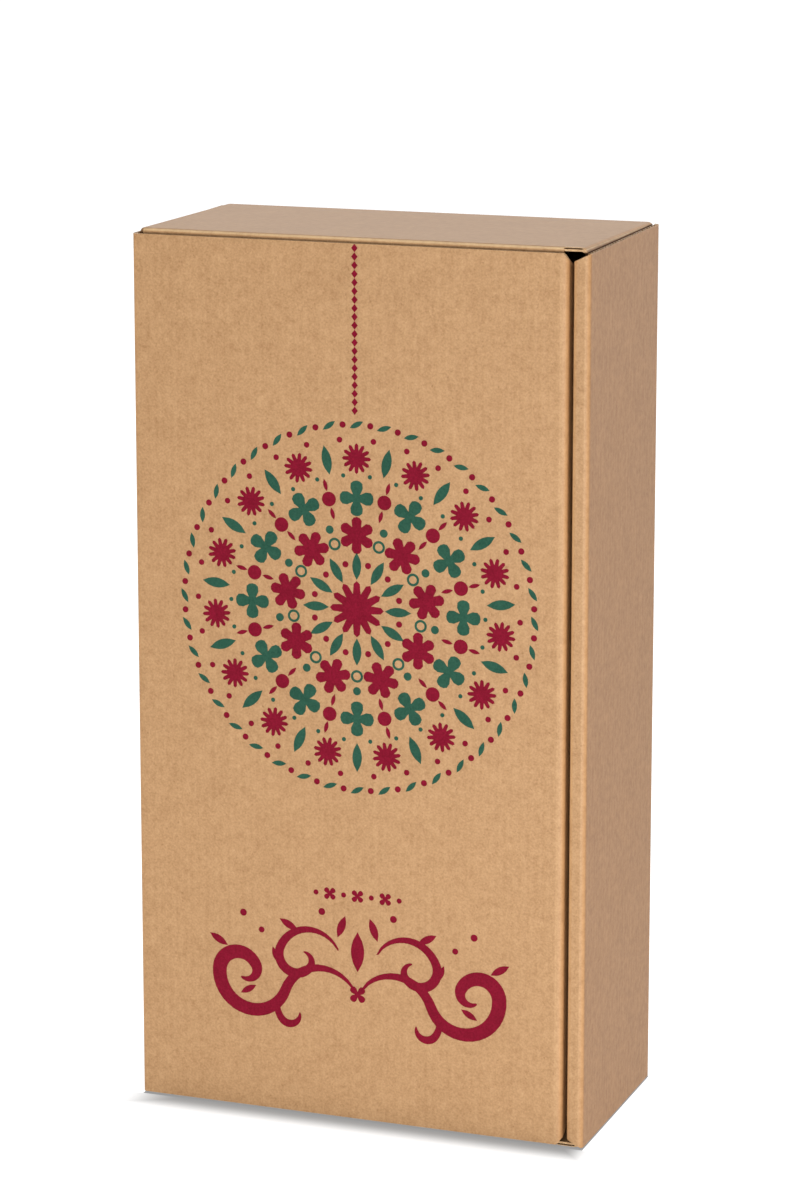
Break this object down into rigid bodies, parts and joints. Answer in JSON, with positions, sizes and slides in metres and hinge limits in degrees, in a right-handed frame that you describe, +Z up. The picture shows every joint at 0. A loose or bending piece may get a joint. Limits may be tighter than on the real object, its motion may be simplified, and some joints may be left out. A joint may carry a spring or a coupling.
{
  "type": "bottle shipping box",
  "caption": "Upright folding box of corrugated board for bottles, with a door-like lid, tuck flap, rolled side wall, card divider and notched neck shelf.",
  "frame": {"origin": "middle of the base that it stands on", "axes": "+Z up along the bottles, the lid faces -Y, the rolled wall and the lid's tuck flap are on the +X side"},
  "size_m": [0.1922, 0.0932, 0.3632],
  "materials": {
    "kraft_board": "matt brown kraft liner",
    "printed_board": "matt brown kraft liner, printed in dark red and green",
    "insert_board": "matt brown kraft liner"
  },
  "bodies": {
    "box": {"tray": "kraft_board", "bottle_divider": "insert_board", "neck_cradle": "insert_board"},
    "lid": {"lid": "printed_board"}
  },
  "joints": [
    {"name": "lid_hinge", "type": "hinge", "parent": "box", "child": "lid", "pos_m": [-0.09562, -0.04612, 0.1816], "axis": [0, 0, -1], "range_deg": [0, 175]}
  ]
}
